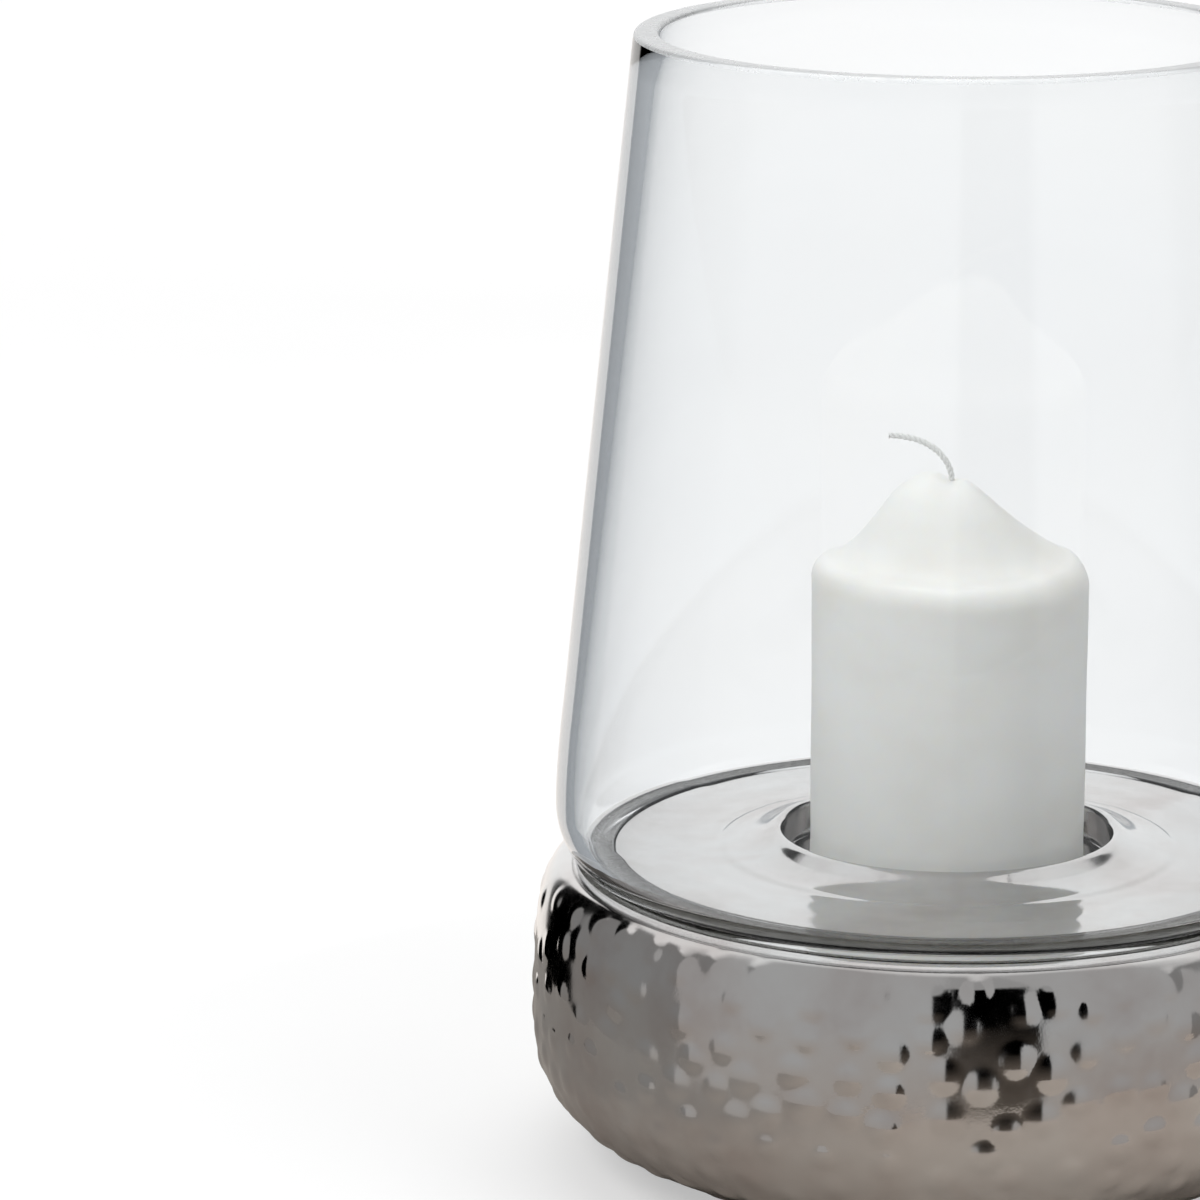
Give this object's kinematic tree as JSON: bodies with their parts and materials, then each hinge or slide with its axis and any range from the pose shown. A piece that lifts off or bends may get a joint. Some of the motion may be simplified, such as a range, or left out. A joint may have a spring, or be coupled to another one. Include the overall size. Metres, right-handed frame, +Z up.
{
  "type": "hurricane candle lantern",
  "caption": "Round hammered silver-glazed ceramic base with a tapered clear glass chimney standing in it round a pillar candle in a central well.",
  "frame": {"origin": "centre of the circle of felt pads, on the surface the lantern stands on", "axes": "+Z up along the lantern's axis; the wick curls over towards -X; -Y is the side that faces the viewer"},
  "size_m": [0.2126, 0.2126, 0.289],
  "materials": {
    "silver_glaze": "mirror-bright metallic silver glaze over ceramic",
    "clear_glass": "clear, polished, ground at the rim and the foot",
    "candle_wax": "off-white paraffin wax, soft sheen",
    "cotton_wick": "braided cotton, unlit",
    "tinned_steel": "tinned sheet",
    "felt": "charcoal wool felt"
  },
  "bodies": {
    "base": {"ceramic_base": "silver_glaze", "felt_pad_1": "felt", "felt_pad_2": "felt", "felt_pad_3": "felt", "felt_pad_4": "felt"},
    "chimney": {"glass_chimney": "clear_glass"},
    "candle": {"pillar_candle": "candle_wax", "candle_wick": "cotton_wick", "wick_sustainer": "tinned_steel"}
  },
  "joints": [
    {"name": "glass_lift", "type": "slide", "parent": "base", "child": "chimney", "axis": [0, 0, 1], "range_m": [0, 0.14]},
    {"name": "candle_lift", "type": "slide", "parent": "base", "child": "candle", "axis": [0, 0, 1], "range_m": [0, 0.23]}
  ]
}
